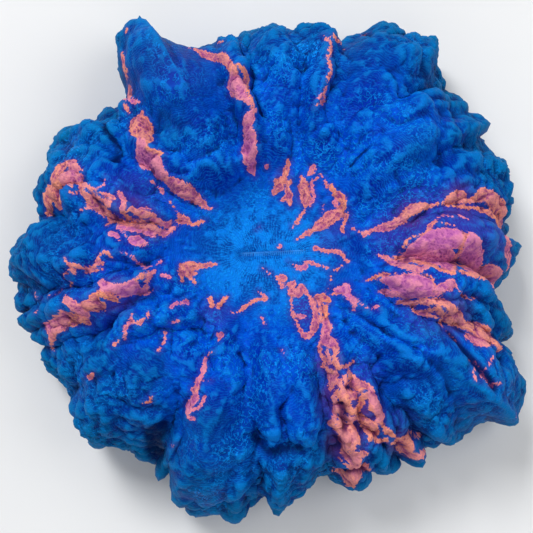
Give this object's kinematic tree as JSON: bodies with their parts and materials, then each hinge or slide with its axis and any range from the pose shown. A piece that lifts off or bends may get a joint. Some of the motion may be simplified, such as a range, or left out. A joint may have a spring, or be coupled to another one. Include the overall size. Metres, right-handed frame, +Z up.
{
  "type": "acanthophyllia coral",
  "caption": "Fleshy solitary stony coral polyp with puffy radial lobes round a central mouth disc and a lumpy overhanging rim, cut off flat underneath.",
  "frame": {"origin": "middle of the flat cut base, which lies on z = 0", "axes": "+Z up out of the mouth disc, +X along the slit mouth, +Y towards the side with the horn"},
  "size_m": [0.1212, 0.1184, 0.04],
  "materials": {
    "coral_flesh": "soft wet flesh, deep blue to turquoise with orange and salmon ribbons"
  },
  "bodies": {
    "root": {"coral_polyp": "coral_flesh"}
  },
  "joints": []
}
